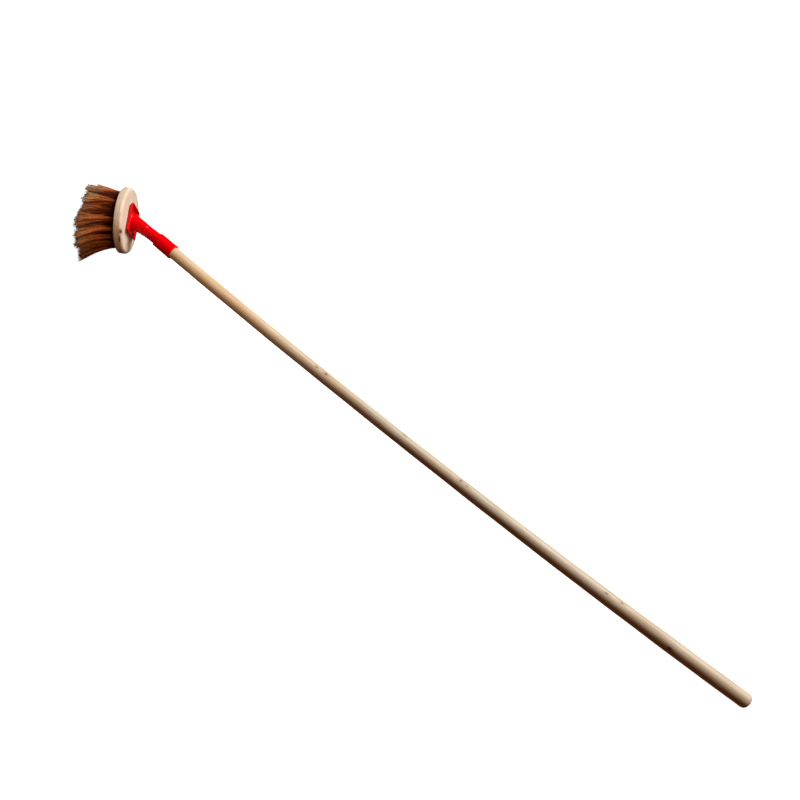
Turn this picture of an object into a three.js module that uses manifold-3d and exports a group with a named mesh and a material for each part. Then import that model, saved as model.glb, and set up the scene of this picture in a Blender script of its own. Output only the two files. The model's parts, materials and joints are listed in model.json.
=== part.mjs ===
// Long-handled round scrubbing brush, lying on its side on a floor.
// Millimetres, +Z up, the handle along +X and the head at the -X end.
//
// The head is drawn in its own frame: the middle of the block's back face is the origin, +Z is the
// way the back face looks, +X is the way the socket leans and +Y is the side that lies on the floor.
import * as THREE from "three";
import { mergeVertices } from "three/addons/utils/BufferGeometryUtils.js";
import Module from "manifold-3d";

const wasm = await Module();
wasm.setup();

// ---------------------------------------------------------------- driving dimensions
const handleRadius = 10.7;        // at the socket's mouth
const handleButtRadius = 13.2;    // at the free end
const handleReach = 1220;         // from the socket's mouth to the free end
const blockRadius = 57.5;
const blockThickness = 14;
const bristleLength = 52;         // in front of the block, at its middle
const socketLean = THREE.MathUtils.degToRad(33.5);
const fitGap = 0.3;               // between pieces that touch on the real object

// ---------------------------------------------------------------- sizes worked out from them
const blockChamfer = 3;
const blockFrontRound = 1.2;

const flangeSide = 54;
const flangeThickness = 6.8;      // at its rim
const flangeCornerRadius = 5;
const flangeEdge = 0.9;
const flangeFloor = 2.8;          // the plate's thickness inside its raised rim
const flangeRim = 2.8;            // the raised rim's width
const flangeFlare = 4;            // how far the rim overhangs the plate's foot, each side
const screwSpacing = 36;          // centre to centre, both ways

const mouthReach = 100;           // along the socket's axis, from the block's back face
const collarReach = 62;           // where the collar begins
const creaseReach = 37;           // a mould crease, where the tapered foot meets the neck
const axisOffset = -7.6;          // where the socket's axis meets the back face
const footRadius = handleRadius + 2.1;
const footReach = 8;
const neckRadius = handleRadius - 0.2;
const crankReach = 55;            // from here down the tube stands a little steeper than its axis
const crankSlope = 0.065;
const creaseRise = 0.5;
const collarRadius = handleRadius + 2.2;
const lipRadius = handleRadius + 2.6;
const lipLength = 4;
const edgeStep = 1.2;             // the length of each step along the socket
const lipRound = 0.6;

const tenonTipRadius = handleRadius - 0.8;
const tenonTipReach = collarReach + 3;
const tenonChamfer = 1.5;
const boreSlack = 0.35;           // radial, facets included
const neckBoreRadius = neckRadius - 2.5;

const handleBow = -43.3;           // how far the free end lies off the socket's axis, across it
const swellStart = 0.3;           // the stick is even up to here, as a share of its reach
const buttLength = 9;             // the rounded end
const buttFlatRadius = 4.5;

const screwHeadRadius = 3.6;
const screwHeadHeight = 1.8;
const screwShankRadius = 1.8;
const screwLength = 12;           // under the head
const screwPoint = 3;
const screwHoleRadius = screwShankRadius + 0.5;
const recessWidth = 0.9;
const recessSpan = 3.8;
const recessDepth = 1;

// turn is the first tuft's angle, in steps of its ring; the third ring clears the flange screws.
const tuftRings = [
  { radius: 0, count: 1, turn: 0 },
  { radius: 15.5, count: 6, turn: 0.5 },
  { radius: 31, count: 12, turn: 0 },
  { radius: 46, count: 18, turn: 0.5 },
];
const tuftRootRadius = 3.6;
const tuftTipRadius = 8.4;
const tuftRootDepth = 8.5;
const tuftHoleRadius = tuftRootRadius + 0.5;
const trimSlope = 0.15;           // the tips are cut longer towards +X
const fanScale = new THREE.Vector2(1.18, 1.22);
const fanShift = new THREE.Vector2(14.5, -5.6);
const fanCurve = 1.9;             // 1 is a straight cone, more keeps the roots upright

const roundSides = 48;
const boreSides = 40;
const smallSides = 12;
const tuftSides = 10;
const tuftSteps = 4;
const handleSteps = 36;
const buttSteps = 5;
const screwHeadSteps = 4;
const cutOver = 1;                // how far a cutter reaches past the face it cuts through
const weldDistance = 1e-4;
const standingRounds = 4;         // enough for the resting tilt to settle

// ---------------------------------------------------------------- materials
const material = (color, roughness, metalness = 0) =>
  new THREE.MeshStandardMaterial({ color, roughness, metalness });
const finishes = {
  block: material(0xe6d3bd, 0.62),
  pole: material(0xd9bd92, 0.5),
  red: material(0xc8101f, 0.28),
  steel: material(0xb9bbbd, 0.32, 0.9),
  bristle: material(0x8a4a22, 0.85),
};

// ---------------------------------------------------------------- helpers
function toSolid(geometry) {
  const bare = geometry.clone();
  bare.deleteAttribute("normal");
  bare.deleteAttribute("uv");
  const merged = mergeVertices(bare, weldDistance);
  return new wasm.Manifold(new wasm.Mesh({
    numProp: 3,
    vertProperties: new Float32Array(merged.attributes.position.array),
    triVerts: new Uint32Array(merged.index.array),
  }));
}

function toGeometry(solid) {
  const mesh = solid.getMesh();
  const geometry = new THREE.BufferGeometry();
  geometry.setAttribute("position", new THREE.BufferAttribute(new Float32Array(mesh.vertProperties), 3));
  geometry.setIndex(new THREE.BufferAttribute(new Uint32Array(mesh.triVerts), 1));
  geometry.computeVertexNormals();
  return geometry;
}

const placed = (geometry, x, y, z) => geometry.clone().translate(x, y, z);

// A solid turned about +Z. Each profile point is [radius, height], from the axis back to the axis.
function turned(profile, sides) {
  const points = profile.map(([radius, height]) => new THREE.Vector2(radius, height));
  return new THREE.LatheGeometry(points, sides).rotateX(Math.PI / 2);
}

// Points on a quarter of an ellipse, from its full radius round to the axis side.
function quarterRound(radius, inner, bottom, height, steps) {
  const points = [];
  for (let i = 0; i <= steps; i += 1) {
    const angle = (i / steps) * (Math.PI / 2);
    points.push([inner + (radius - inner) * Math.cos(angle), bottom + height * Math.sin(angle)]);
  }
  return points;
}

function piece(name, geometry, finish) {
  const mesh = new THREE.Mesh(geometry, finish);
  mesh.name = name;
  return mesh;
}

// ---------------------------------------------------------------- block
function tuftPlaces() {
  const places = [];
  for (const ring of tuftRings) {
    for (let i = 0; i < ring.count; i += 1) {
      const angle = ((i + ring.turn) / ring.count) * 2 * Math.PI;
      places.push(new THREE.Vector2(ring.radius * Math.cos(angle), ring.radius * Math.sin(angle)));
    }
  }
  return places;
}

function screwPlaces() {
  const half = screwSpacing / 2;
  return [[half, half], [-half, half], [-half, -half], [half, -half]];
}

function blockGeometry(places) {
  const front = -blockThickness;
  const disc = turned([
    [0, front],
    [blockRadius - blockFrontRound, front],
    [blockRadius, front + blockFrontRound],
    [blockRadius, -blockChamfer],
    [blockRadius - blockChamfer, 0],
    [0, 0],
  ], 2 * roundSides);
  const holeDrill = turned([
    [0, front - cutOver],
    [tuftHoleRadius, front - cutOver],
    [tuftHoleRadius, front + tuftRootDepth + fitGap],
    [0, front + tuftRootDepth + fitGap],
  ], smallSides);
  const pilotFloor = flangeFloor - screwLength;
  const screwDrill = turned([
    [0, pilotFloor],
    [screwHoleRadius, pilotFloor + screwHoleRadius],
    [screwHoleRadius, cutOver],
    [0, cutOver],
  ], smallSides);
  let solid = toSolid(disc);
  for (const place of places) {
    solid = solid.subtract(toSolid(placed(holeDrill, place.x, place.y, 0)));
  }
  for (const [x, y] of screwPlaces()) {
    solid = solid.subtract(toSolid(placed(screwDrill, x, y, 0)));
  }
  return toGeometry(solid);
}

// ---------------------------------------------------------------- tufts
// Where a bristle rooted at (x, y) has got to, a share s of the way from the block to its tip.
function fanned(root, s) {
  const spread = s ** fanCurve;
  const x = root.x + (root.x * (fanScale.x - 1) + fanShift.x) * spread;
  const y = root.y + (root.y * (fanScale.y - 1) + fanShift.y) * spread;
  const length = bristleLength + trimSlope * (root.x * fanScale.x + fanShift.x);
  return new THREE.Vector3(x, y, -blockThickness - length * s);
}

function tuftGeometry(root) {
  // Heights are shares of the bristle's reach; rootMark stands for the floor of its hole.
  const rootMark = -1;
  const profile = [[0, 1], [tuftTipRadius, 1]];
  for (let i = tuftSteps - 1; i >= 0; i -= 1) {
    const s = i / tuftSteps;
    profile.push([THREE.MathUtils.lerp(tuftRootRadius, tuftTipRadius, s), s]);
  }
  profile.push([tuftRootRadius, rootMark], [0, rootMark]);
  const points = profile.map(([radius, s]) => new THREE.Vector2(radius, -s));
  const geometry = new THREE.LatheGeometry(points, tuftSides).rotateX(Math.PI / 2);
  const position = geometry.attributes.position;
  for (let i = 0; i < position.count; i += 1) {
    const s = -position.getZ(i);
    const centre = fanned(root, Math.max(s, 0));
    const isRoot = s < rootMark / 2;
    const z = isRoot ? -blockThickness + tuftRootDepth : centre.z;
    position.setXYZ(i, position.getX(i) + centre.x, position.getY(i) + centre.y, z);
  }
  geometry.computeVertexNormals();
  return geometry;
}

// ---------------------------------------------------------------- socket
function roundedSquare(side, corner) {
  const half = side / 2;
  const outline = new THREE.Shape();
  outline.moveTo(half, -half + corner);
  outline.absarc(half - corner, half - corner, corner, 0, Math.PI / 2, false);
  outline.absarc(-half + corner, half - corner, corner, Math.PI / 2, Math.PI, false);
  outline.absarc(-half + corner, -half + corner, corner, Math.PI, 1.5 * Math.PI, false);
  outline.absarc(half - corner, -half + corner, corner, 1.5 * Math.PI, 2 * Math.PI, false);
  return outline;
}

// Draws the sides in towards the block, so that they spread like a tray's.
function flaredSides(geometry) {
  const position = geometry.attributes.position;
  const foot = fitGap;
  const brim = fitGap + flangeThickness - flangeEdge;
  for (let i = 0; i < position.count; i += 1) {
    const below = THREE.MathUtils.clamp((brim - position.getZ(i)) / (brim - foot), 0, 1);
    const scale = 1 - below * flangeFlare / (flangeSide / 2);
    position.setXYZ(i, position.getX(i) * scale, position.getY(i) * scale, position.getZ(i));
  }
  return geometry;
}

// A square tray with rounded edges: the plate, with a rim that stands round it.
function flangeSolid() {
  const plate = new THREE.ExtrudeGeometry(
    roundedSquare(flangeSide - 2 * flangeEdge, flangeCornerRadius - flangeEdge),
    {
      depth: flangeThickness - 2 * flangeEdge,
      bevelThickness: flangeEdge,
      bevelSize: flangeEdge,
      bevelSegments: 2,
      curveSegments: 6,
    },
  ).translate(0, 0, flangeEdge + fitGap);
  const dish = new THREE.ExtrudeGeometry(
    roundedSquare(flangeSide - 2 * flangeRim, flangeCornerRadius - flangeRim / 2),
    { depth: flangeThickness - flangeFloor + cutOver, bevelEnabled: false, curveSegments: 4 },
  ).translate(0, 0, flangeFloor + fitGap);
  return toSolid(flaredSides(plate)).subtract(toSolid(flaredSides(dish)));
}

// The bore, the tube and the handle share the socket's own frame: +Z runs out along its axis.
// The tube's foot is cranked in that frame, so tube and bore have a ring where the crank begins.
function tubeProfile() {
  return [
    [0, -footRadius],
    [footRadius, -footRadius],
    [footRadius, footReach],
    [neckRadius + creaseRise, creaseReach],
    [neckRadius, creaseReach + edgeStep],
    [neckRadius, crankReach],
    [neckRadius, collarReach],
    [collarRadius, collarReach + edgeStep],
    [collarRadius, mouthReach - lipLength - edgeStep],
    [lipRadius, mouthReach - lipLength],
    [lipRadius, mouthReach - lipRound],
    [lipRadius - lipRound, mouthReach],
    [0, mouthReach],
  ];
}

// The drafted seat for the handle stops at a ledge; the neck is cored out right through the flange.
function boreProfile() {
  const ledge = tenonTipReach - fitGap;
  return [
    [0, -footRadius],
    [neckBoreRadius, -footRadius],
    [neckBoreRadius, crankReach],
    [neckBoreRadius, ledge],
    [tenonTipRadius + boreSlack, ledge],
    [handleRadius + boreSlack, mouthReach],
    [handleRadius + boreSlack, mouthReach + cutOver],
    [0, mouthReach + cutOver],
  ];
}

function cranked(geometry) {
  const position = geometry.attributes.position;
  for (let i = 0; i < position.count; i += 1) {
    const below = Math.max(crankReach - position.getZ(i), 0);
    position.setX(i, position.getX(i) + crankSlope * below);
  }
  return geometry;
}

function alongAxis(geometry) {
  return geometry.clone().rotateY(socketLean).translate(axisOffset, 0, 0);
}

function socketGeometry() {
  const bore = cranked(turned(boreProfile(), boreSides));
  const tube = cranked(turned(tubeProfile(), roundSides));
  // Everything under the flange's lower face is cut away, so that the moulding sits flat.
  const below = new THREE.BoxGeometry(4 * flangeSide, 4 * flangeSide, 2 * flangeSide)
    .translate(0, 0, fitGap - flangeSide);
  const screwHole = turned([
    [0, -cutOver],
    [screwHoleRadius, -cutOver],
    [screwHoleRadius, 2 * flangeThickness],
    [0, 2 * flangeThickness],
  ], smallSides);
  let solid = toSolid(alongAxis(tube));
  solid = solid.subtract(toSolid(below));
  solid = solid.add(flangeSolid());
  solid = solid.subtract(toSolid(alongAxis(bore)));
  for (const [x, y] of screwPlaces()) {
    solid = solid.subtract(toSolid(placed(screwHole, x, y, 0)));
  }
  return toGeometry(solid);
}

// ---------------------------------------------------------------- screws
function screwGeometry() {
  const seat = flangeFloor + 2 * fitGap;
  const tip = seat - screwLength;
  const screw = turned([
    [0, tip],
    [screwShankRadius, tip + screwPoint],
    [screwShankRadius, seat],
    ...quarterRound(screwHeadRadius, 0, seat, screwHeadHeight, screwHeadSteps).slice(0, -1),
    [0, seat + screwHeadHeight],
  ], 2 * smallSides);
  const top = seat + screwHeadHeight;
  const arm = new THREE.BoxGeometry(recessSpan, recessWidth, 2 * recessDepth);
  const crossArm = new THREE.BoxGeometry(recessWidth, recessSpan, 2 * recessDepth);
  const solid = toSolid(screw)
    .subtract(toSolid(placed(arm, 0, 0, top)))
    .subtract(toSolid(placed(crossArm, 0, 0, top)));
  return toGeometry(solid);
}

// ---------------------------------------------------------------- handle
// The stick is turned straight, then bent: it leaves the socket along its axis and bows past it.
function handleGeometry() {
  const end = mouthReach + handleReach;
  const shoulder = end - buttLength;
  const profile = [
    [0, tenonTipReach],
    [tenonTipRadius - tenonChamfer, tenonTipReach],
    [tenonTipRadius, tenonTipReach + 2 * tenonChamfer],
  ];
  for (let i = 0; i <= handleSteps; i += 1) {
    const share = i / handleSteps;
    const swell = THREE.MathUtils.smoothstep(share, swellStart, 1);
    profile.push([
      THREE.MathUtils.lerp(handleRadius, handleButtRadius, swell),
      THREE.MathUtils.lerp(mouthReach, shoulder, share),
    ]);
  }
  profile.push(...quarterRound(handleButtRadius, buttFlatRadius, shoulder, buttLength, buttSteps).slice(1));
  profile.push([0, end]);
  const geometry = turned(profile, roundSides / 2);
  const position = geometry.attributes.position;
  for (let i = 0; i < position.count; i += 1) {
    const share = Math.max(position.getZ(i) - mouthReach, 0) / handleReach;
    position.setX(i, position.getX(i) + handleBow * share ** 2);
  }
  geometry.computeVertexNormals();
  return geometry;
}

// ---------------------------------------------------------------- assembly
const places = tuftPlaces();
const head = new THREE.Group();
head.add(piece("block", blockGeometry(places), finishes.block));
places.forEach((place, index) => {
  const number = String(index + 1).padStart(2, "0");
  head.add(piece(`tuft_${number}`, tuftGeometry(place), finishes.bristle));
});
head.add(piece("socket", socketGeometry(), finishes.red));
screwPlaces().forEach(([x, y], index) => {
  const screw = piece(`flange_screw_${index + 1}`, screwGeometry(), finishes.steel);
  screw.position.set(x, y, 0);
  head.add(screw);
});

const handle = piece("handle", handleGeometry(), finishes.pole);
handle.position.x = axisOffset;
handle.rotation.y = socketLean;
head.add(handle);

// The head's +Y side turns down and the socket's axis turns to +X.
head.setRotationFromMatrix(new THREE.Matrix4().makeBasis(
  new THREE.Vector3(Math.sin(socketLean), -Math.cos(socketLean), 0),
  new THREE.Vector3(0, 0, -1),
  new THREE.Vector3(Math.cos(socketLean), Math.sin(socketLean), 0),
));
const part = new THREE.Group();
part.add(head);

// It tips about Y until the block's rim and the handle's free end stand on the same floor.
const lowest = (name) => new THREE.Box3().setFromObject(part.getObjectByName(name), true).min.z;
for (let round = 0; round < standingRounds; round += 1) {
  part.updateMatrixWorld(true);
  part.rotation.y += (lowest("handle") - lowest("block")) / (mouthReach + handleReach);
}
part.updateMatrixWorld(true);
const bounds = new THREE.Box3().setFromObject(part, true);
const centre = bounds.getCenter(new THREE.Vector3());
part.position.set(-centre.x, -centre.y, -bounds.min.z);
part.updateMatrixWorld(true);

export default part;
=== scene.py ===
"""The looks of a long-handled round scrubbing brush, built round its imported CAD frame.

Every shape is drawn in millimetres in one of the brush's own two frames, and is placed in world
metres once, as its mesh is made:
  head   origin in the middle of the block's back face, X the way the socket leans, Z out of the face
  stick  origin where the socket's axis meets that face, Z out along the axis, Y as in the head
"""
import json
import math
import bpy
import numpy as np
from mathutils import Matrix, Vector


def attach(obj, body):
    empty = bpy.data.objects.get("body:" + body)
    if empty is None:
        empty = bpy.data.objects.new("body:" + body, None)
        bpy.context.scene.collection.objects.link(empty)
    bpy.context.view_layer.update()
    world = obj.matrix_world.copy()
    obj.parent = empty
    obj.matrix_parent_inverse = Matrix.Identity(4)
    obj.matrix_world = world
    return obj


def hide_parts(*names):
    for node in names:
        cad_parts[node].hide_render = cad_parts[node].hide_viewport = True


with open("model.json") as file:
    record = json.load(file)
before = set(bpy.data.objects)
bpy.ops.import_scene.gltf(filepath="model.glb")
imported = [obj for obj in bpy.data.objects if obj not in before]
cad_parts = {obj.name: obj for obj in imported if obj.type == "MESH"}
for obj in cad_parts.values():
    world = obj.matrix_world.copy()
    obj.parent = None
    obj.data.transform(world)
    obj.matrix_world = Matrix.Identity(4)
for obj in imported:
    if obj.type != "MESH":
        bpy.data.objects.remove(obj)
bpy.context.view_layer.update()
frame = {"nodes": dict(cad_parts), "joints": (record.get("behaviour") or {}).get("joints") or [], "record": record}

MM = 0.001
SAME_HEIGHT = 0.02


# ------------------------------------------------------------------ the brush's own frames
class Axes:
    """A frame of the brush: shapes are drawn in it in millimetres and placed in world metres."""

    def __init__(self, origin, x, y, z):
        self.origin = np.array(origin, float)
        self.rows = np.array([x, y, z], float)

    def to_world(self, points):
        return self.origin + np.asarray(points, float) @ self.rows * MM

    def to_local(self, points):
        return (np.asarray(points, float) - self.origin) @ self.rows.T / MM


def unit(vector):
    vector = np.array(vector, float)
    return vector / np.linalg.norm(vector)


def unit_rows(vectors):
    return vectors / np.linalg.norm(vectors, axis=-1, keepdims=True)


def cad_points(node, axes):
    """A CAD node's vertices, in millimetres in one of the brush's frames."""
    return axes.to_local([vertex.co for vertex in frame["nodes"][node].data.vertices])


def ring_middle(points, height):
    """The middle of the vertices that lie at one height."""
    ring = points[abs(points[:, 2] - height) < SAME_HEIGHT]
    return (ring.min(axis=0) + ring.max(axis=0)) / 2


def find_head():
    """The head's frame, from the direction of the bristle mount, the joint's axis and the block."""
    tips = next(mount for mount in frame["record"]["mounts"] if mount["name"] == "bristle_tips")
    out = -unit(tips["axis"])
    axis = unit(frame["joints"][0]["axis"])
    lean = unit(axis - out * (axis @ out))
    rows = (lean, np.cross(out, lean), out)
    block = cad_points("block", Axes((0, 0, 0), *rows))
    middle = (block.min(axis=0) + block.max(axis=0)) / 2
    middle[2] = block[:, 2].max()
    return Axes(Axes((0, 0, 0), *rows).to_world(middle), *rows)


def find_stick(head):
    """The stick's frame: the socket's axis, followed from the tenon down to the block's back face."""
    axis = unit(frame["joints"][0]["axis"])
    side = head.rows[1]
    loose = Axes((0, 0, 0), np.cross(side, axis), side, axis)
    points = cad_points("handle", loose)
    tenon = head.to_local(loose.to_world(ring_middle(points, points[:, 2].min())))
    along = head.rows @ axis
    start = tenon - along * tenon[2] / along[2]
    return Axes(head.to_world(start), *loose.rows)


HEAD = find_head()
STICK = find_stick(HEAD)

# ------------------------------------------------------------------ sizes, in millimetres
# The main sizes are measured on the CAD nodes. The others are typed in, to follow the CAD closely.
block_cad = cad_points("block", HEAD)
socket_cad = cad_points("socket", HEAD)
stick_cad = cad_points("handle", STICK)

BLOCK_RADIUS = np.ptp(block_cad[:, 0]) / 2
BLOCK_FRONT = block_cad[:, 2].min()
BLOCK_CHAMFER = 3.0
BLOCK_FRONT_ROUND = 1.4
BLOCK_BACK_ROUND = 1.8
BLOCK_SIDES = 256
HOLE_RADIUS = 4.1
HOLE_DEPTH = 8.8
DRILL_OVERRUN = 1.0

FLANGE_SIDE = np.ptp(socket_cad[:, 1])
FLANGE_UNDER = socket_cad[:, 2].min()
FLANGE_FLOOR = FLANGE_UNDER + 2.8
FLANGE_TOP = FLANGE_UNDER + 6.8
FLANGE_RIM = 2.8
FLANGE_CROWN = 2.4
FLANGE_CORNER = 4.0
FLANGE_CORNER_LEAST = 1.2
FLANGE_EDGE = 0.9
FLANGE_FLARE = 4.0
FLANGE_COVE = 0.6
FILLET_OUT = 2.2
FILLET_UP = 3.0
CORE_HEIGHTS = (9.0, 4.5)

# places along the socket's axis, from the block's back face
FOOT_REACH = 20.0
CREASE = 37.0
CRANK_REACH = 55.0
COLLAR = 62.0
MOUTH = cad_points("socket", STICK)[:, 2].max()

FOOT_RADIUS = 12.8
SHIN_RADIUS = 12.1
NECK_RADIUS = 10.5
COLLAR_RADIUS = 12.9
LIP_RADIUS = 13.3
LIP_LENGTH = 4.0
NECK_BORE = 8.0
BORE_SLACK = 0.35
CRANK_SLOPE = 0.065
SOCKET_SIDES = 192

TENON = stick_cad[:, 2].min()
STICK_END = stick_cad[:, 2].max()
STICK_RADIUS = 10.7
BUTT_REACH = 60.0
BUTT_RADIUS = np.ptp(stick_cad[stick_cad[:, 2] > STICK_END - BUTT_REACH][:, 1]) / 2
BUTT_LENGTH = 9.0
BUTT_FLAT = 4.5
TENON_RADIUS = 9.9
SWELL_START = 0.3
BOW = ring_middle(stick_cad, STICK_END)[0]
TENON_ROUND = 1.8
LUMP_HEIGHT = 0.05
LUMP_PITCH = 95.0
LUMP_WAVES = 6
LUMP_FADE_IN = 60
LUMP_FADE_OUT = 20
STICK_SIDES = 72
STICK_RINGS = 320

SCREW_HEAD = 3.6
SCREW_HEIGHT = 1.8
SCREW_EDGE = 0.35
SCREW_SHANK = 1.8
SCREW_LENGTH = 12.0
SCREW_SIDES = 40
SCREW_FIRST_TURN = 17
SCREW_TURN_STEP = 40
SEAT_GAP = 0.05
PILOT_SLACK = 0.1
SCREW_CLEARANCE = 0.25
THREAD_START = 3
THREAD_TURNS = 5
THREAD_PITCH = 1.4
THREAD_DEPTH = 0.45

WIRE_RADIUS = 0.45
WIRE_SIDES = 8
WIRE_STEPS = 14
WIRE_RISE = 2.0
WIRE_SIDE_GAP = 1.0
WIRE_FLOOR_GAP = 0.7
WIRE_TURN = 0.7

SEED = 20


# ------------------------------------------------------------------ mesh helpers
def softened(profile, steps=5):
    """A polyline of (radius, height, bend) points, each corner rounded over bend either side."""
    points = []
    for index, (radius, height, bend) in enumerate(profile):
        here = np.array([radius, height], float)
        if bend == 0:
            points.append(here)
            continue
        before = np.array(profile[index - 1][:2], float) - here
        after = np.array(profile[index + 1][:2], float) - here
        start = here + before * min(bend / np.linalg.norm(before), 0.5)
        end = here + after * min(bend / np.linalg.norm(after), 0.5)
        for t in np.linspace(0, 1, steps):
            points.append((1 - t) ** 2 * start + 2 * t * (1 - t) * here + t ** 2 * end)
    return np.array(points)


def ring_faces(rings, sides, joined=False):
    """Quads between rings of points, numbered ring by ring; joined closes the last onto the first."""
    ring = np.arange(rings if joined else rings - 1)[:, None] * sides
    here = np.arange(sides)[None, :]
    after = (here + 1) % sides
    above = (ring + sides) % (rings * sides)
    quads = np.stack([ring + here, ring + after, above + after, above + here], axis=-1)
    return quads.reshape(-1, 4).tolist()


def turned(profile, sides):
    """A closed solid turned about Z from a profile that starts and ends on the axis."""
    angles = np.linspace(0, 2 * math.pi, sides, endpoint=False)
    inner = profile[1:-1]
    rings = np.stack([
        inner[:, 0, None] * np.cos(angles),
        inner[:, 0, None] * np.sin(angles),
        np.repeat(inner[:, 1, None], sides, axis=1),
    ], axis=-1)
    points = np.vstack([rings.reshape(-1, 3), [0, 0, profile[0][1]], [0, 0, profile[-1][1]]])
    faces = ring_faces(len(inner), sides)
    bottom, top = len(points) - 2, len(points) - 1
    last = (len(inner) - 1) * sides
    for i in range(sides):
        after = (i + 1) % sides
        faces.append([bottom, after, i])
        faces.append([top, last + i, last + after])
    return points, faces


def new_object(name, points, faces, axes):
    mesh = bpy.data.meshes.new(name)
    mesh.from_pydata(axes.to_world(points).tolist(), [], faces)
    made = bpy.data.objects.new(name, mesh)
    bpy.context.scene.collection.objects.link(made)
    return made


def cut_away(target, tools):
    """Cuts closed solids out of another with Blender's exact boolean, then removes them."""
    for tool in tools:
        cut = target.modifiers.new("cut", "BOOLEAN")
        cut.operation = "DIFFERENCE"
        cut.solver = "EXACT"
        cut.object = tool
    graph = bpy.context.evaluated_depsgraph_get()
    shaped = bpy.data.meshes.new_from_object(target.evaluated_get(graph))
    target.modifiers.clear()
    target.data = shaped
    for tool in tools:
        bpy.data.objects.remove(tool)


def smooth(piece, sharp_degrees):
    """Smooth shading, with edges steeper than this kept sharp."""
    piece.data.shade_smooth()
    piece.data.set_sharp_from_angle(angle=math.radians(sharp_degrees))


def store_vectors(piece, name, vectors):
    """Keeps one vector per vertex, for the material to read."""
    attribute = piece.data.attributes.new(name, "FLOAT_VECTOR", "POINT")
    attribute.data.foreach_set("vector", np.asarray(vectors, np.float32).ravel())


def world_points(piece):
    return np.array([vertex.co for vertex in piece.data.vertices], float)


def dress(piece, material, body, slot, *stands_for):
    """Gives a piece its material and its body, and hides the CAD nodes it stands for; slot is not used."""
    piece.data.materials.clear()
    piece.data.materials.append(material)
    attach(piece, body)
    if stands_for:
        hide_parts(*stands_for)


# ------------------------------------------------------------------ material helpers
class Look:
    """A material being built. Each method adds nodes and gives the socket that carries the result."""

    def __init__(self, name, **settings):
        self.material = bpy.data.materials.new(name)
        self.material.use_nodes = True
        self.tree = self.material.node_tree
        self.shader = self.tree.nodes["Principled BSDF"]
        for socket, value in settings.items():
            self.shader.inputs[socket.replace("_", " ")].default_value = value

    def plug(self, socket, value):
        if isinstance(value, bpy.types.NodeSocket):
            self.tree.links.new(value, socket)
        else:
            socket.default_value = value

    def node(self, kind, inputs, **settings):
        made = self.tree.nodes.new("ShaderNode" + kind)
        for setting, value in settings.items():
            setattr(made, setting, value)
        for socket, value in inputs.items():
            self.plug(made.inputs[socket], value)
        return made

    def attribute(self, name):
        return self.node("Attribute", {}, attribute_name=name).outputs["Vector"]

    def part_of(self, vector, letter):
        return self.node("SeparateXYZ", {0: vector}).outputs[letter]

    def maths(self, operation, a, b=0.0):
        return self.node("Math", {0: a, 1: b}, operation=operation).outputs[0]

    def stretched(self, vector, scale):
        return self.node("VectorMath", {0: vector, 1: scale}, operation="MULTIPLY").outputs[0]

    def noise(self, vector, scale, detail=3.0, distortion=0.0):
        inputs = {"Vector": vector, "Scale": scale, "Detail": detail, "Distortion": distortion}
        return self.node("TexNoise", inputs).outputs[0]

    def between(self, value, low, high, from_value=0.0, to_value=1.0):
        """A smooth step of value from low to high, as a number from from_value to to_value."""
        inputs = {0: value, 1: low, 2: high, 3: from_value, 4: to_value}
        step = self.node("MapRange", inputs, interpolation_type="SMOOTHSTEP")
        return step.outputs[0]

    def ramp(self, value, stops):
        """A colour that runs through stops, each a place and a display colour."""
        made = self.node("ValToRGB", {0: value})
        elements = made.color_ramp.elements
        while len(elements) < len(stops):
            elements.new(0.5)
        for element, (place, colour) in zip(elements, stops):
            element.position = place
            element.color = tone(*colour)
        return made.outputs[0]

    def mix(self, share, a, b):
        return self.node("Mix", {0: share, 6: a, 7: b}, data_type="RGBA").outputs[2]

    def stain(self, colour, share, strength, shade):
        """The colour drawn towards another one, by share times strength."""
        return self.mix(self.maths("MULTIPLY", share, strength), colour, tone(*shade))

    def spot(self, vector, centre, size, ragged):
        """1 inside a soft ellipsoid round a point of the surface, 0 outside it."""
        offset = self.node("VectorMath", {0: vector, 1: centre}, operation="SUBTRACT").outputs[0]
        shrunk = self.stretched(offset, [1 / s for s in size])
        distance = self.node("VectorMath", {0: shrunk}, operation="LENGTH").outputs["Value"]
        rough_edge = self.maths("ADD", distance, ragged)
        return self.between(rough_edge, 0.55, 1.15, 1.0, 0.0)

    def knot(self, colour, vector, centre, ragged, halo, heart):
        """A wide pale stain, then a small dark one; each is a size, a strength and a colour."""
        for size, strength, shade in (halo, heart):
            colour = self.stain(colour, self.spot(vector, centre, size, ragged), strength, shade)
        return colour

    def bump(self, height, strength, distance_mm):
        inputs = {"Height": height, "Strength": strength, "Distance": distance_mm * MM}
        normal = self.node("Bump", inputs).outputs[0]
        self.plug(self.shader.inputs["Normal"], normal)

    def set(self, socket, value):
        self.plug(self.shader.inputs[socket], value)


def tone(red, green, blue):
    """A display colour, 0 to 255 a channel, as the linear colour that sockets hold."""
    linear = []
    for channel in (red, green, blue):
        share = channel / 255
        linear.append(share / 12.92 if share <= 0.04045 else ((share + 0.055) / 1.055) ** 2.4)
    return (*linear, 1.0)


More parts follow.
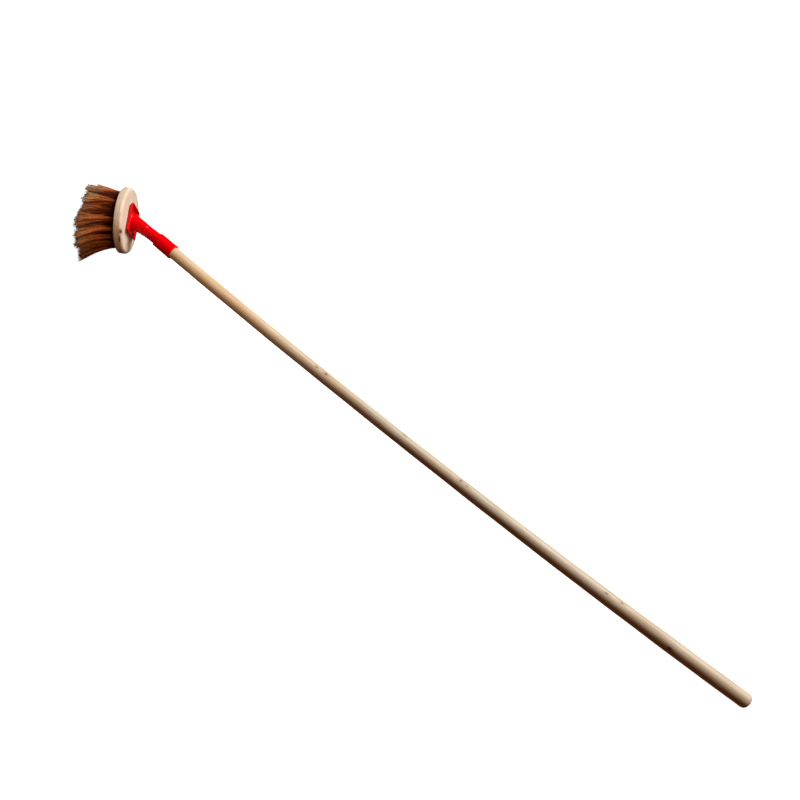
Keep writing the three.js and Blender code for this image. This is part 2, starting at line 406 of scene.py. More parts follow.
# ------------------------------------------------------------------ wood
BLOCK_KNOTS = [
    # angle about the block, height, and half the size along the head's X, Y and Z
    {"angle": -50, "height": -1.0, "size": (3.4, 5.2, 3.6)},
    {"angle": -36, "height": -3.4, "size": (11.0, 6.4, 1.6)},
    {"angle": 118, "height": -7.0, "size": (2.2, 2.2, 2.2)},
]
STICK_KNOTS = [
    # reach along the stick, angle about it, and half the size across and along it
    {"reach": 445, "angle": -116, "across": 2.0, "along": 3.4},
    {"reach": 425, "angle": -112, "across": 1.2, "along": 2.4},
    {"reach": 614, "angle": -132, "across": 1.0, "along": 3.0},
    {"reach": 735, "angle": -117, "across": 1.9, "along": 3.2},
    {"reach": 748, "angle": -112, "across": 1.0, "along": 4.0},
    {"reach": 905, "angle": 60, "across": 2.4, "along": 4.0},
    {"reach": 1034, "angle": -109, "across": 1.2, "along": 3.0},
    {"reach": 1063, "angle": -121, "across": 1.3, "along": 3.4},
    {"reach": 1166, "angle": -60, "across": 2.6, "along": 5.0},
    {"reach": 300, "angle": 35, "across": 2.2, "along": 4.2},
]


def block_wood():
    look = Look("block_wood", Roughness=0.6, Specular_IOR_Level=0.3)
    local = look.attribute("local")
    drift = look.noise(look.stretched(local, (0.012, 0.03, 0.03)), 1.0, 2.0)
    grain = look.noise(look.stretched(local, (0.03, 0.55, 0.5)), 1.0, 5.0, 0.4)
    pores = look.noise(look.stretched(local, (0.12, 2.6, 2.2)), 1.0, 3.0)
    base = look.ramp(look.between(drift, 0.3, 0.7), [(0, (238, 210, 185)), (1, (248, 227, 205))])
    colour = look.stain(base, look.between(grain, 0.42, 0.68), 0.45, (196, 156, 115))
    colour = look.stain(colour, look.between(pores, 0.58, 0.75), 0.22, (168, 126, 88))
    ragged = look.between(look.noise(local, 0.7, 3.0), 0.2, 0.8, -0.3, 0.3)
    for knot in BLOCK_KNOTS:
        angle = math.radians(knot["angle"])
        radius = min(BLOCK_RADIUS, BLOCK_RADIUS - BLOCK_CHAMFER - knot["height"])
        centre = (radius * math.cos(angle), radius * math.sin(angle), knot["height"])
        halo = ([2.0 * half for half in knot["size"]], 0.5, (176, 120, 70))
        heart = (knot["size"], 0.9, (92, 46, 14))
        colour = look.knot(colour, local, centre, ragged, halo, heart)
    look.set("Base Color", colour)
    look.set("Roughness", look.between(grain, 0.3, 0.7, 0.52, 0.68))
    look.bump(look.maths("ADD", grain, look.maths("MULTIPLY", pores, 0.5)), 0.35, 0.25)
    return look.material


def stick_wood():
    look = Look("stick_wood", Roughness=0.45, Specular_IOR_Level=0.35)
    local = look.attribute("local")
    drift = look.noise(look.stretched(local, (0.03, 0.03, 0.006)), 1.0, 2.0)
    patches = look.noise(look.stretched(local, (0.09, 0.09, 0.02)), 1.0, 3.0, 0.6)
    grain = look.noise(look.stretched(local, (0.6, 0.6, 0.012)), 1.0, 4.0, 0.3)
    pores = look.noise(look.stretched(local, (3.0, 3.0, 0.12)), 1.0, 3.0)
    base = look.ramp(look.between(drift, 0.32, 0.68), [(0, (226, 192, 152)), (1, (232, 208, 178))])
    colour = look.stain(base, look.between(patches, 0.45, 0.7), 0.4, (214, 172, 134))
    colour = look.stain(colour, look.between(grain, 0.45, 0.7), 0.45, (190, 148, 104))
    colour = look.stain(colour, look.between(pores, 0.6, 0.78), 0.25, (150, 108, 70))
    ragged = look.between(look.noise(local, 0.9, 3.0), 0.2, 0.8, -0.35, 0.35)
    for knot in STICK_KNOTS:
        angle = math.radians(knot["angle"])
        radius = float(stick_radius(knot["reach"]))
        centre = (radius * math.cos(angle), radius * math.sin(angle), knot["reach"])
        across, along = knot["across"], knot["along"]
        halo = ((2.2 * across, 2.2 * across, 3.0 * along), 0.35, (176, 128, 84))
        heart = ((across, across, along), 0.85, (78, 46, 26))
        colour = look.knot(colour, local, centre, ragged, halo, heart)
    look.set("Base Color", colour)
    look.set("Roughness", look.between(grain, 0.3, 0.7, 0.4, 0.55))
    look.bump(look.maths("ADD", grain, look.maths("MULTIPLY", pores, 0.4)), 0.3, 0.2)
    return look.material


# ------------------------------------------------------------------ block
def tuft_ends():
    """Each tuft's name, with the middles of its root and of its tip in the head's frame."""
    ends = []
    for name in sorted(node for node in frame["nodes"] if node.startswith("tuft_")):
        points = cad_points(name, HEAD)
        root = ring_middle(points, points[:, 2].max())
        tip = ring_middle(points, points[:, 2].min())
        ends.append((name, root, tip))
    return ends


def screw_places():
    """Where each flange screw stands, by name, in the head's frame."""
    names = sorted(node for node in frame["nodes"] if node.startswith("flange_screw_"))
    places = {}
    for name in names:
        points = cad_points(name, HEAD)
        places[name] = (points.min(axis=0) + points.max(axis=0))[:2] / 2
    return places


def drill(radius, low, high, x, y, sides=32):
    """A rod to cut a round hole with, upright in the head's frame."""
    profile = np.array([[0, low], [radius, low], [radius, high], [0, high]], float)
    points, faces = turned(profile, sides)
    return new_object("drill", points + [x, y, 0], faces, HEAD)


def make_block(material, tufts):
    profile = softened([
        (0, BLOCK_FRONT, 0),
        (BLOCK_RADIUS, BLOCK_FRONT, BLOCK_FRONT_ROUND),
        (BLOCK_RADIUS, -BLOCK_CHAMFER, BLOCK_BACK_ROUND),
        (BLOCK_RADIUS - BLOCK_CHAMFER, 0, BLOCK_BACK_ROUND),
        (0, 0, 0),
    ])
    points, faces = turned(profile, BLOCK_SIDES)
    block = new_object("block_turned", points, faces, HEAD)
    drills = []
    outside, floor = BLOCK_FRONT - DRILL_OVERRUN, BLOCK_FRONT + HOLE_DEPTH
    for _, root, _ in tufts:
        drills.append(drill(HOLE_RADIUS, outside, floor, *root[:2]))
    pilot, bottom = SCREW_SHANK + PILOT_SLACK, FLANGE_FLOOR - SCREW_LENGTH
    for x, y in screw_places().values():
        drills.append(drill(pilot, bottom, DRILL_OVERRUN, x, y, 20))
    cut_away(block, drills)
    smooth(block, sharp_degrees=30)
    store_vectors(block, "local", HEAD.to_local(world_points(block)))
    dress(block, material, "head", "block_wood", "block")


# ------------------------------------------------------------------ stick
def stick_radius(reach):
    """The stick's radius at a place along it: even at first, then swelling towards the free end."""
    share = np.clip((reach - MOUTH) / (STICK_END - MOUTH), 0, 1)
    swell = np.clip((share - SWELL_START) / (1 - SWELL_START), 0, 1)
    swell = swell * swell * (3 - 2 * swell)
    return STICK_RADIUS + (BUTT_RADIUS - STICK_RADIUS) * swell


def stick_bow(reach):
    """How far the bowed stick has left its axis at a place along it."""
    share = np.clip((reach - MOUTH) / (STICK_END - MOUTH), 0, 1)
    return BOW * share ** 2


def stick_lumps(points):
    """The slight unevenness of a turned stick, fading out towards the socket and the free end."""
    rng = np.random.default_rng(SEED)
    reach = points[:, 2]
    fade_in = np.clip((reach - MOUTH) / LUMP_FADE_IN, 0, 1)
    fade_out = np.clip((STICK_END - reach) / LUMP_FADE_OUT, 0, 1)
    angle = np.arctan2(points[:, 1], points[:, 0])
    lumps = np.zeros(len(points))
    for waves in range(1, LUMP_WAVES + 1):
        phase, twist = rng.uniform(0, 2 * math.pi, 2)
        round_it = (waves % 3) * (angle + twist)
        lumps += LUMP_HEIGHT * np.sin(reach * waves / LUMP_PITCH + phase + round_it)
    return fade_in * fade_out * lumps


def make_stick(material):
    shoulder = STICK_END - BUTT_LENGTH
    reach = np.linspace(MOUTH, shoulder, STICK_RINGS)
    shaft = np.stack([stick_radius(reach), reach], axis=1)
    tenon = softened([
        (0, TENON, 0),
        (TENON_RADIUS, TENON, TENON_ROUND),
        (STICK_RADIUS - 0.01, MOUTH - 0.3, 0),
    ])
    turn = np.linspace(0, math.pi / 2, 12)[1:]
    dome = np.stack([
        BUTT_FLAT + (BUTT_RADIUS - BUTT_FLAT) * np.cos(turn),
        shoulder + BUTT_LENGTH * np.sin(turn),
    ], axis=1)
    profile = np.vstack([tenon, shaft, dome, [0, STICK_END]])
    points, faces = turned(profile, STICK_SIDES)
    straight = points.copy()
    points[:, :2] *= (1 + stick_lumps(points) / STICK_RADIUS)[:, None]
    points[:, 0] += stick_bow(points[:, 2])
    stick = new_object("handle_turned", points, faces, STICK)
    smooth(stick, sharp_degrees=40)
    store_vectors(stick, "local", straight)
    dress(stick, material, "stick", "handle_wood", "handle")


# ------------------------------------------------------------------ socket
def rounded_square(angles, half, corner):
    """The outline of a square with round corners, one point for each angle about its middle."""
    far = half * math.sqrt(2) * np.stack([np.cos(angles), np.sin(angles)], axis=-1)
    inner = np.clip(far, corner - half, half - corner)
    outward = far - inner
    return inner + corner * outward / np.linalg.norm(outward, axis=-1, keepdims=True)


def tube_ring(angles, radius, reach):
    """A ring round the socket's tube, whose foot is cranked off the axis, in the head's frame."""
    crank = CRANK_SLOPE * max(CRANK_REACH - reach, 0)
    ring = np.column_stack([
        radius * np.cos(angles) + crank,
        radius * np.sin(angles),
        np.full(len(angles), reach),
    ])
    return HEAD.to_local(STICK.to_world(ring))


def tube_point(angles, radius, height):
    """Where lines along the foot's wall pass a height above the block, in the head's frame."""
    low = tube_ring(angles, radius, 0)
    along = tube_ring(angles, radius, CRANK_REACH) - low
    share = (height - low[:, 2]) / along[:, 2]
    return low + share[:, None] * along


def flange_ring(angles, inset, height):
    """The flange's outline, drawn in by inset, at a height; its sides spread like a tray's."""
    brim = FLANGE_TOP - FLANGE_EDGE
    below = min(max((brim - height) / (brim - FLANGE_UNDER), 0), 1)
    half = FLANGE_SIDE / 2 - inset - FLANGE_FLARE * below
    outline = rounded_square(angles, half, max(FLANGE_CORNER - inset, FLANGE_CORNER_LEAST))
    return np.column_stack([outline, np.full(len(angles), height)])


def tube_rings(angles):
    """The tube, from its foot up outside to the mouth, and down the bore to the foot again."""
    wall = softened([
        (SHIN_RADIUS, FOOT_REACH, 0),
        (NECK_RADIUS + 0.5, CREASE, 0.9),
        (NECK_RADIUS, CREASE + 1.2, 0.9),
        (NECK_RADIUS, CRANK_REACH, 3.0),
        (NECK_RADIUS, COLLAR, 0.7),
        (COLLAR_RADIUS, COLLAR + 1.0, 0.7),
        (COLLAR_RADIUS, MOUTH - LIP_LENGTH - 1.2, 0.8),
        (LIP_RADIUS, MOUTH - LIP_LENGTH, 0.8),
        (LIP_RADIUS, MOUTH, 1.0),
        (STICK_RADIUS + BORE_SLACK, MOUTH, 0.5),
        (TENON_RADIUS + BORE_SLACK, TENON - 0.3, 0.3),
        (NECK_BORE, TENON - 0.3, 0.4),
        (NECK_BORE, CRANK_REACH, 3.0),
        (NECK_BORE, FOOT_REACH, 0),
    ])
    return [tube_ring(angles, radius, reach) for radius, reach in wall]


def flange_rings(angles):
    """The flange, from its underside out round the edge, over the rim and down to its floor."""
    quarter = math.pi / 2
    steps = []
    for turn in np.linspace(0, quarter, 4):
        inset = FLANGE_EDGE * (1 - math.sin(turn))
        steps.append((inset, FLANGE_UNDER + FLANGE_EDGE * (1 - math.cos(turn))))
    for turn in np.linspace(0, quarter, 10):
        inset = FLANGE_CROWN * (1 - math.cos(turn))
        steps.append((inset, FLANGE_TOP - FLANGE_CROWN * (1 - math.sin(turn))))
    inner = FLANGE_RIM - FLANGE_CROWN
    for turn in np.linspace(0, quarter, 6)[1:]:
        inset = FLANGE_CROWN + inner * math.sin(turn)
        steps.append((inset, FLANGE_TOP - inner * (1 - math.cos(turn))))
    for turn in np.linspace(0, quarter, 5):
        inset = FLANGE_RIM + FLANGE_COVE * (1 - math.cos(turn))
        steps.append((inset, FLANGE_FLOOR + FLANGE_COVE * (1 - math.sin(turn))))
    return [flange_ring(angles, inset, height) for inset, height in steps]


def fillet_rings(angles):
    """The round inner corner from the flange's floor up the tube's foot."""
    corner = tube_point(angles, FOOT_RADIUS, FLANGE_FLOOR)
    outward = unit_rows(corner - corner.mean(axis=0))
    start = corner + outward * FILLET_OUT
    raised = tube_point(angles, FOOT_RADIUS, FLANGE_FLOOR + FILLET_UP)
    return [(1 - t) ** 2 * start + 2 * t * (1 - t) * corner + t ** 2 * raised
            for t in np.linspace(0, 1, 8)]


def make_socket(material):
    """One closed skin of rings: the tube and its bore, the cored foot, the flange and the fillet."""
    angles = np.linspace(0, 2 * math.pi, SOCKET_SIDES, endpoint=False)
    core = [tube_point(angles, NECK_BORE, height) for height in (*CORE_HEIGHTS, FLANGE_UNDER)]
    points = np.vstack(tube_rings(angles) + core + flange_rings(angles) + fillet_rings(angles))
    faces = ring_faces(len(points) // SOCKET_SIDES, SOCKET_SIDES, joined=True)
    socket = new_object("socket_moulded", points, faces, HEAD)
    hole = SCREW_SHANK + SCREW_CLEARANCE
    under, above = FLANGE_UNDER - 2, FLANGE_FLOOR + 4
    holes = [drill(hole, under, above, x, y, 24) for x, y in screw_places().values()]
    cut_away(socket, holes)
    smooth(socket, sharp_degrees=38)
    store_vectors(socket, "local", HEAD.to_local(world_points(socket)))
    dress(socket, material, "head", "red_plastic", "socket")


def red_plastic():
    look = Look("red_plastic", Roughness=0.25, Specular_IOR_Level=0.2, IOR=1.48)
    local = look.attribute("local")
    haze = look.noise(local, 0.06, 3.0)
    grime = look.noise(local, 0.5, 4.0)
    colour = look.mix(look.between(haze, 0.3, 0.7), tone(236, 0, 10), tone(244, 1, 14))
    # painted shade: the red is drawn towards a darker crimson from the flange's top down to the block, over the
    # flange's wall and foot
    painted_shade_near_block = look.between(look.part_of(local, "Z"), FLANGE_UNDER, FLANGE_TOP - 1.5, 1.0, 0.0)
    colour = look.mix(painted_shade_near_block, colour, tone(168, 0, 14))
    look.set("Base Color", colour)
    look.set("Roughness", look.between(grime, 0.3, 0.7, 0.21, 0.28))
    look.bump(look.noise(local, 0.15, 3.0), 0.05, 0.3)
    return look.material


# ------------------------------------------------------------------ screws and wire anchors
def screw_steel():
    look = Look("screw_steel", Metallic=1.0, Roughness=0.3)
    place = look.node("TexCoord", {}).outputs["Object"]
    patina = look.noise(place, 900.0, 3.0)
    look.set("Base Color", look.ramp(patina, [(0.3, (104, 72, 56)), (0.7, (146, 118, 98))]))
    look.set("Roughness", look.between(patina, 0.3, 0.7, 0.36, 0.52))
    look.bump(look.noise(place, 2400.0, 2.0), 0.1, 0.1)
    return look.material


def screw_profile(seat):
    """Half the outline of a wood screw, its thread as plain rings, with the head's underside at seat."""
    tip = seat - SCREW_LENGTH
    thread = []
    for turn in range(THREAD_TURNS):
        root = tip + THREAD_START + turn * THREAD_PITCH
        thread += [(SCREW_SHANK - THREAD_DEPTH, root), (SCREW_SHANK, root + THREAD_PITCH / 2)]
    dome = [
        (SCREW_HEAD * math.cos(turn), seat + SCREW_EDGE + (SCREW_HEIGHT - SCREW_EDGE) * math.sin(turn))
        for turn in np.linspace(0, math.pi / 2, 9)
    ]
    point = [(0, tip), (0.25, tip + 0.3)]
    return np.array([*point, *thread, (SCREW_SHANK, seat), (SCREW_HEAD, seat), *dome])


def make_screws(material):
    seat = FLANGE_FLOOR + SEAT_GAP
    for name, (x, y) in screw_places().items():
        points, faces = turned(screw_profile(seat), SCREW_SIDES)
        screw = new_object(f"{name}_driven", points + [x, y, 0], faces, HEAD)
        turn = math.radians(SCREW_FIRST_TURN + SCREW_TURN_STEP * int(name[-1]))
        arms = [recess(turn + quarter, x, y, seat + SCREW_HEIGHT) for quarter in (0, math.pi / 2)]
        cut_away(screw, arms)
        smooth(screw, sharp_degrees=35)
        dress(screw, material, "head", "screw_steel", name)


def recess(turn, x, y, top):
    """One arm of the cross in a screw's head, as a tapered bar to cut away."""
    corners = []
    for height, length, width in ((-1.1, 1.2, 0.3), (0.5, 2.3, 0.5)):
        for across, along in ((-1, -1), (1, -1), (1, 1), (-1, 1)):
            px, py = length * along, width * across
            corners.append((
                x + px * math.cos(turn) - py * math.sin(turn),
                y + px * math.sin(turn) + py * math.cos(turn),
                top + height,
            ))
    faces = [[0, 1, 2, 3], [7, 6, 5, 4], [0, 4, 5, 1], [1, 5, 6, 2], [2, 6, 7, 3], [3, 7, 4, 0]]
    return new_object("recess", corners, faces, HEAD)


def make_anchors(material, tufts):
    """The flattened wire staple that holds each folded bundle down on the floor of its hole."""
    half = HOLE_RADIUS - WIRE_SIDE_GAP
    crown = BLOCK_FRONT + HOLE_DEPTH - WIRE_FLOOR_GAP
    legs = crown - WIRE_RISE
    points, faces = [], []
    for index, (_, root, _) in enumerate(tufts):
        turn = index * WIRE_TURN
        across = np.array([math.cos(turn), math.sin(turn), 0])
        aside = np.array([-math.sin(turn), math.cos(turn), 0])
        out = np.array([0, 0, 1.0])
        base = len(points)
        for bend in np.linspace(0, math.pi, WIRE_STEPS):
            middle = root * [1, 1, 0] + across * half * math.cos(bend)
            middle = middle + out * (legs + WIRE_RISE * min(1.0, 1.6 * math.sin(bend)))
            along = unit(across * -math.sin(bend) + out * 0.8 * math.cos(bend))
            lift = np.cross(aside, along)
            for side in np.linspace(0, 2 * math.pi, WIRE_SIDES, endpoint=False):
                points.append(middle + WIRE_RADIUS * (math.cos(side) * aside + math.sin(side) * lift))
        for quad in ring_faces(WIRE_STEPS, WIRE_SIDES):
            faces.append([base + corner for corner in quad])
        last = base + (WIRE_STEPS - 1) * WIRE_SIDES
        faces.append([base + side for side in reversed(range(WIRE_SIDES))])
        faces.append([last + side for side in range(WIRE_SIDES)])
    anchors = new_object("tuft_anchors", points, faces, HEAD)
    smooth(anchors, sharp_degrees=50)
    dress(anchors, material, "head", "screw_steel")


# ------------------------------------------------------------------ bristles
FIBRES = 340
FIBRE_SIDES = 3
FIBRE_STATIONS = np.array([0, 0.1, 0.24, 0.4, 0.56, 0.72, 0.87, 1.0])
FIBRE_RADIUS = 0.29
FIBRE_WIDTHS = (0.75, 1.25)
FIBRE_TAPER = 0.3
FIBRE_BEND = 1.3
FIBRE_KINK = 0.45
KINK_WAVES = (5, 11)
KINK_PHASES = (0, 6.3)
WISPS = 18
WISP_ROOT = 0.9
WISP_TIP = 3.4
WISP_WANDER = 2.8
WISP_WANDER_MOST = 4
STRAY_SHARE = 0.1
STRAY_WANDER = 2.4
TRIM_SPREAD = 0.022
LONGEST = 1.045
BROKEN_SHARE = 0.12
BROKEN_LOSS = 0.2
BUNDLE_ROOT = 3.5
BUNDLE_HIDDEN = 0.9
BUNDLE_TIP = 13.2
BUNDLE_CURVE = 1.6
FAN_CURVE = 1.9
TIP_FLARE = (1.01, 0.96)
FLOOR_GAP = 0.5
FLOOR_PRESS = 0.02
TUFT_SHADE = 0.12
WISP_SHADE = 0.6
FIBRE_SHADE = 0.28
WORN_BLEACH = 0.9
WORN_PLACES = [
    # angle about the block, how far it reaches either side, and how far it moves the tips along
    # the head's X, along its Y and away from the block
    {"angle": -140, "width": 32, "shift": np.array([-3.0, -9.0, 6.0])},
    {"angle": -80, "width": 20, "shift": np.array([0.0, -3.0, 4.0])},
    {"angle": -8, "width": 28, "shift": np.array([-2.0, 0.0, -3.0])},
]


def disc(rng, count, radius):
    """Random points spread evenly over a disc."""
    turn = rng.uniform(0, 2 * math.pi, count)
    out = radius * np.sqrt(rng.uniform(0, 1, count))
    return np.stack([out * np.cos(turn), out * np.sin(turn)], axis=1)


def worn_share(place, ends):
    """How worn fibres that end at these points of the fan are: 1 where the place meets its edge."""
    around = np.degrees(np.arctan2(ends[:, 1], ends[:, 0])) - place["angle"]
    around = (around + 180) % 360 - 180
    edge = np.minimum(np.linalg.norm(ends, axis=1) / FAN_RADIUS, 1)
    return (np.exp(-(around / place["width"]) ** 2) * edge ** 2)[:, None]


def fibre_paths(rng, root, tip):
    """One bundle's fibres: centre lines from the hole's floor, the wisp each is in, how worn it is."""
    count = FIBRES
    wisp = rng.integers(0, WISPS, count)
    wisp_roots = disc(rng, WISPS, BUNDLE_ROOT - WISP_ROOT)
    wander = rng.normal(0, WISP_WANDER, (WISPS, 2)).clip(-WISP_WANDER_MOST, WISP_WANDER_MOST)
    wisp_ends = wisp_roots * (BUNDLE_TIP / BUNDLE_ROOT) + wander
    roots = wisp_roots[wisp] + disc(rng, count, WISP_ROOT)
    ends = wisp_ends[wisp] + disc(rng, count, WISP_TIP)
    strays = rng.uniform(0, 1, (count, 1)) < STRAY_SHARE
    ends += strays * rng.normal(0, STRAY_WANDER, (count, 2))
    broken = rng.uniform(0, 1, count) < BROKEN_SHARE
    cut = 1.0 + rng.normal(0, TRIM_SPREAD, count) - broken * rng.uniform(0, BROKEN_LOSS, count)

    # s runs from 0 at the block's front to about 1 at each fibre's end; in_fan is where that end
    # lies from the middle of all the tufts
    s = np.minimum(cut, LONGEST)[:, None] * FIBRE_STATIONS[None, :]
    spread = s[..., None] ** FAN_CURVE
    in_fan = tip[:2] - FAN_MIDDLE + ends
    worn = sum(place["shift"] * worn_share(place, in_fan) for place in WORN_PLACES)
    length = BLOCK_FRONT - tip[2] + worn[:, 2:] - TRIM_SLOPE * ends[:, :1]
    ends += worn[:, :2]
    flared = FAN_MIDDLE + (tip[:2] - FAN_MIDDLE) * TIP_FLARE
    centre = root[:2] + (flared - root[:2]) * spread
    offset = roots[:, None] + (ends - roots)[:, None] * s[..., None] ** BUNDLE_CURVE
    bend = rng.normal(0, FIBRE_BEND, (count, 1, 2)) * (s * (1 - s))[..., None] * 2
    kink = np.sin(s * rng.uniform(*KINK_WAVES, (count, 1)) + rng.uniform(*KINK_PHASES, (count, 1)))
    kink = (kink * s * FIBRE_KINK)[..., None] * unit_rows(rng.normal(0, 1, (count, 1, 2)))
    across = centre + offset + bend + kink
    height = BLOCK_FRONT - length * s
    showing = np.concatenate([across, height[..., None]], axis=2)
    hidden = np.concatenate([root[:2] + roots * BUNDLE_HIDDEN, np.full((count, 1), root[2])], axis=1)
    paths = np.concatenate([hidden[:, None], showing], axis=1)
    return paths, wisp, worn_share(WORN_PLACES[0], in_fan)


def fibre_mesh(rng, paths, share):
    """A thin tapered prism round every fibre's centre line, all in one mesh."""
    count, stations = paths.shape[:2]
    width = FIBRE_RADIUS * rng.uniform(*FIBRE_WIDTHS, (count, 1)) * (1 - FIBRE_TAPER * share ** 2.5)
    along = unit_rows(np.gradient(paths, axis=1))
    across = unit_rows(np.cross(along, unit_rows(rng.normal(0, 1, (count, 1, 3)) * [1, 1, 0.2])))
    aside = np.cross(along, across)
    turns = np.linspace(0, 2 * math.pi, FIBRE_SIDES, endpoint=False)
    rings = paths[:, :, None] + width[..., None, None] * (
        np.cos(turns)[:, None] * across[:, :, None] + np.sin(turns)[:, None] * aside[:, :, None])
    step = stations * FIBRE_SIDES
    one = np.array(ring_faces(stations, FIBRE_SIDES))
    quads = (np.arange(count)[:, None, None] * step + one).reshape(-1, 4).tolist()
    first = np.arange(FIBRE_SIDES)[::-1]
    last = np.arange(FIBRE_SIDES) + step - FIBRE_SIDES
    caps = np.arange(count)[:, None, None] * step + np.stack([first, last])
    return rings.reshape(-1, 3), quads + caps.reshape(-1, FIBRE_SIDES).tolist()


def press_on_floor(piece):
    """Flattens what reaches below the floor's gap, as fibres that lie on the floor are pressed."""
    placed = world_points(piece)
    floor = FLOOR_GAP * MM
    below = placed[:, 2] - floor
    placed[:, 2] = np.where(below < 0, floor + below * FLOOR_PRESS, placed[:, 2])
    piece.data.vertices.foreach_set("co", placed.ravel())


def fibre_facts(rng, share, wisp, worn):
    """What the material reads at each station of a fibre: its share, its shade and its bleach."""
    count = len(wisp)
    wisp_shade = rng.uniform(0, 1, WISPS)[wisp][:, None, None]
    fibre_shade = rng.uniform(0, 1, (count, 1, 1))
    shade = TUFT_SHADE * rng.uniform(0, 1) + WISP_SHADE * wisp_shade + FIBRE_SHADE * fibre_shade
    bleach = rng.uniform(0, 1, (count, 1, 1)) + WORN_BLEACH * worn[:, None]
    return np.concatenate(np.broadcast_arrays(share[None, :, None], shade, bleach), axis=2)


def make_tuft(material, name, root, tip):
    rng = np.random.default_rng(SEED + int(name[-2:]))
    paths, wisp, worn = fibre_paths(rng, root, tip)
    share = np.concatenate([[0], FIBRE_STATIONS])
    points, faces = fibre_mesh(rng, paths, share)
    tuft = new_object(f"{name}_fibres", points, faces, HEAD)
    press_on_floor(tuft)
    facts = fibre_facts(rng, share, wisp, worn)
    store_vectors(tuft, "fibre", np.repeat(facts[:, :, None], FIBRE_SIDES, axis=2).reshape(-1, 3))
    tuft.data.shade_smooth()
    dress(tuft, material, "head", "bristle_fibre", name)


def bristle_fibre():
    look = Look("bristle_fibre", Roughness=0.6, Specular_IOR_Level=0.25)
    fibre = look.attribute("fibre")
    share = look.part_of(fibre, "X")
    shade = look.part_of(fibre, "Y")
    bleach = look.part_of(fibre, "Z")
    place = look.node("TexCoord", {}).outputs["Object"]
    mottle = look.noise(place, 220.0, 2.0)
    # both ramps run darker towards the root: partly the fibres' own colour, partly painted shade where the block
    # shades the roots
    dark = look.ramp(share, [
        (0.0, (80, 28, 9)),
        (0.45, (116, 44, 16)),
        (0.85, (140, 62, 26)),
        (1.0, (170, 106, 60)),
    ])
    light = look.ramp(share, [
        (0.0, (206, 90, 36)),
        (0.5, (252, 138, 62)),
        (0.85, (252, 162, 86)),
        (1.0, (244, 200, 150)),
    ])
    colour = look.mix(look.between(shade, 0.28, 0.85), dark, light)
    worn_reach = look.maths("ADD", share, look.between(bleach, 0.9, 1.6, 0.0, 0.3))
    near_end = look.between(worn_reach, 0.74, 0.98)
    colour = look.stain(colour, near_end, look.between(bleach, 0.5, 0.95), (212, 172, 124))
    colour = look.mix(look.between(mottle, 0.3, 0.7, 0.0, 0.35), colour, tone(96, 50, 22))
    look.set("Base Color", colour)
    look.set("Roughness", look.between(mottle, 0.3, 0.7, 0.5, 0.7))
    look.bump(look.noise(place, 1800.0, 2.0), 0.2, 0.1)
    return look.material


# ------------------------------------------------------------------ camera, light and floor
VIEW_AZIMUTH = 40.33
VIEW_ELEVATION = 77.0
VIEW_PAST_HEAD = (0.5578, 0.0704)
VIEW_DISTANCE = 1.823
VIEW_LENS = 47.3
VIEW_SENSOR = 36
FLOOR_GLOW = 1.12
WORLD_COLOUR = (1.0, 0.4, 0.18, 1)
WORLD_STRENGTH = 0.07


def direction(azimuth, elevation):
    """The unit vector from the object towards a viewer at this azimuth and elevation."""
    around, up = math.radians(azimuth), math.radians(elevation)
    return Vector((math.sin(around) * math.cos(up), -math.cos(around) * math.cos(up), math.sin(up)))


def make_camera():
    data = bpy.data.cameras.new("camera")
    data.lens = VIEW_LENS
    data.sensor_width = VIEW_SENSOR
    camera = bpy.data.objects.new("camera", data)
    target = Vector((HEAD.origin[0] + VIEW_PAST_HEAD[0], HEAD.origin[1] + VIEW_PAST_HEAD[1], 0.0))
    back = direction(VIEW_AZIMUTH, VIEW_ELEVATION)
    camera.location = target + back * VIEW_DISTANCE
    camera.rotation_mode = "QUATERNION"
    camera.rotation_quaternion = (-back).to_track_quat("-Z", "Y")
    bpy.context.scene.collection.objects.link(camera)
    bpy.context.scene.camera = camera


def make_light(name, target, azimuth, elevation, distance, size, power, colour, glossy):
    """A soft round lamp that shines on target from a direction given as for a camera."""
    data = bpy.data.lights.new(name, "AREA")
    data.shape = "DISK"
    data.size = size
    data.energy = power
    data.color = colour
    light = bpy.data.objects.new(name, data)
    back = direction(azimuth, elevation)
    light.location = Vector(target) + back * distance
    light.rotation_mode = "QUATERNION"
    light.rotation_quaternion = (-back).to_track_quat("-Z", "Y")
    light.visible_camera = False
    light.visible_glossy = glossy
    bpy.context.scene.collection.objects.link(light)


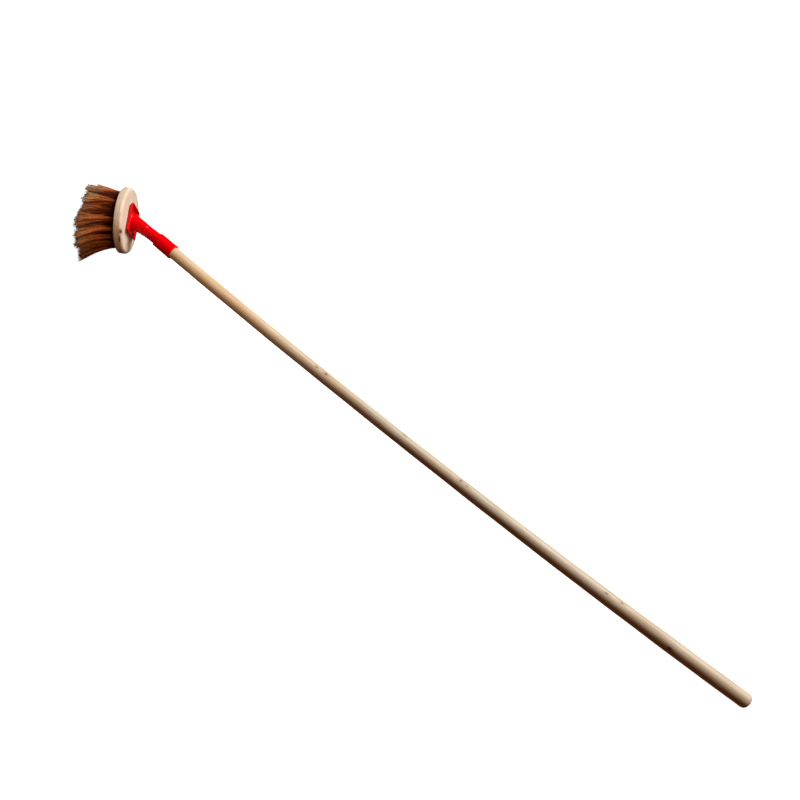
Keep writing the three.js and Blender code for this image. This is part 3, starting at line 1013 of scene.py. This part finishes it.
def make_stage():
    """A pale floor that turns up into a round wall; it lights nothing, so the shade sides stay deep."""
    middle, radius, bend, wall = 1.0, 7.0, 2.0, 6.0
    profile = [(middle, 0.0), (radius - bend, 0.0)]
    for turn in np.linspace(0, math.pi / 2, 12)[1:]:
        profile.append((radius - bend + bend * math.sin(turn), bend - bend * math.cos(turn)))
    profile.append((radius, wall))
    angles = np.linspace(0, 2 * math.pi, 96, endpoint=False)
    points = [(r * math.cos(a), r * math.sin(a), z) for r, z in profile for a in angles]
    faces = ring_faces(len(profile), len(angles))
    middle_face = list(range(len(angles)))[::-1]
    faces.append(middle_face)
    mesh = bpy.data.meshes.new("stage")
    mesh.from_pydata(points, [], faces)
    stage = bpy.data.objects.new("stage", mesh)
    bpy.context.scene.collection.objects.link(stage)
    stage.data.shade_smooth()
    look = Look("stage_paper", Roughness=0.9, Specular_IOR_Level=0.0)
    place = look.node("TexCoord", {}).outputs["Object"]
    tint = look.mix(look.noise(place, 3.0, 2.0), (0.9, 0.9, 0.9, 1), (0.92, 0.92, 0.92, 1))
    look.set("Base Color", tint)
    look.set("Emission Color", tint)
    look.set("Emission Strength", FLOOR_GLOW)
    mesh.materials.append(look.material)
    stage.visible_diffuse = False
    stage.visible_glossy = False
    stage.visible_shadow = False


def make_world():
    world = bpy.data.worlds.new("studio")
    world.use_nodes = True
    shade = world.node_tree.nodes["Background"]
    shade.inputs["Color"].default_value = WORLD_COLOUR
    shade.inputs["Strength"].default_value = WORLD_STRENGTH
    bpy.context.scene.world = world
    bpy.context.scene.view_settings.view_transform = "Standard"


# ------------------------------------------------------------------ the whole brush
tufts = tuft_ends()
tips = np.array([tuft_tip for _, _, tuft_tip in tufts])
FAN_MIDDLE = tips[:, :2].mean(axis=0)
FAN_RADIUS = np.linalg.norm(tips[:, :2] - FAN_MIDDLE, axis=1).max() + BUNDLE_TIP / 2
TRIM_SLOPE = np.polyfit(tips[:, 0], tips[:, 2], 1)[0]
steel = screw_steel()
fibre_look = bristle_fibre()
make_block(block_wood(), tufts)
make_stick(stick_wood())
make_socket(red_plastic())
make_screws(steel)
make_anchors(steel, tufts)
for tuft_name, tuft_root, tuft_tip in tufts:
    make_tuft(fibre_look, tuft_name, tuft_root, tuft_tip)

make_camera()
make_light(
    "key", target=(0.0, 0.0, 0.0), azimuth=169, elevation=26, distance=6.0,
    size=4.0, power=450, colour=(0.88, 0.975, 1.03), glossy=True,
)
make_light(
    "head_fill", target=HEAD.origin, azimuth=112, elevation=54, distance=0.4,
    size=0.25, power=0.5, colour=(1.0, 0.79, 0.58), glossy=False,
)
make_stage()
make_world()
